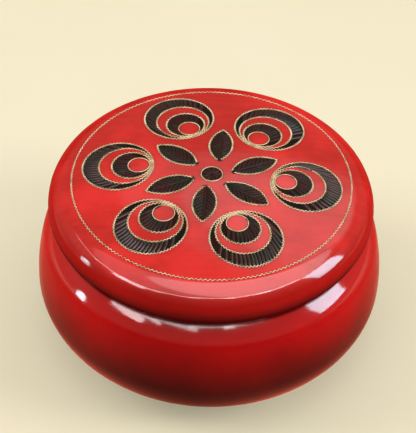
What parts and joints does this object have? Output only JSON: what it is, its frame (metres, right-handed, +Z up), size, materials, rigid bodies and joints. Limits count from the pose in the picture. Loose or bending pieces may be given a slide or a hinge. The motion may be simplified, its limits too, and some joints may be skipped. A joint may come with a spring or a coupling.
{
  "type": "round lidded trinket box",
  "caption": "Round box with a bulging bowl, a fitted collar and a lift-off domed lid carrying a raised rosette of ringed roundels and leaves.",
  "frame": {"origin": "middle of the flat underside, on the surface the box stands on", "axes": "+Z up along the axis of the bowl and lid; -Y toward the viewer of the reference view"},
  "size_m": [0.1268, 0.1268, 0.0681],
  "materials": {
    "red_lacquer": "moulded pulp under a thick clear-coated red lacquer, gloss, lightly mottled",
    "black_lacquer": "satin black lacquer",
    "gilt_line": "raised cream-gold line, satin",
    "dark_relief": "ribbed dark brown-black relief under gloss lacquer"
  },
  "bodies": {
    "base": {"base_bowl": "red_lacquer", "mouth_collar": "black_lacquer"},
    "lid": {"lid_shell": "red_lacquer", "border_line": "gilt_line", "dot_line": "gilt_line", "dot_field": "dark_relief", "leaf_line_1": "gilt_line", "leaf_field_1": "dark_relief", "leaf_line_2": "gilt_line", "leaf_field_2": "dark_relief", "leaf_line_3": "gilt_line", "leaf_field_3": "dark_relief", "leaf_line_4": "gilt_line", "leaf_field_4": "dark_relief", "leaf_line_5": "gilt_line", "leaf_field_5": "dark_relief", "leaf_line_6": "gilt_line", "leaf_field_6": "dark_relief", "roundel_line_1": "gilt_line", "outer_crescent_1": "dark_relief", "inner_crescent_1": "dark_relief", "roundel_line_2": "gilt_line", "outer_crescent_2": "dark_relief", "inner_crescent_2": "dark_relief", "roundel_line_3": "gilt_line", "outer_crescent_3": "dark_relief", "inner_crescent_3": "dark_relief", "roundel_line_4": "gilt_line", "outer_crescent_4": "dark_relief", "inner_crescent_4": "dark_relief", "roundel_line_5": "gilt_line", "outer_crescent_5": "dark_relief", "inner_crescent_5": "dark_relief", "roundel_line_6": "gilt_line", "outer_crescent_6": "dark_relief", "inner_crescent_6": "dark_relief"}
  },
  "joints": [
    {"name": "lid_lift", "type": "slide", "parent": "base", "child": "lid", "axis": [0, 0, 1], "range_m": [0, 0.06]}
  ]
}
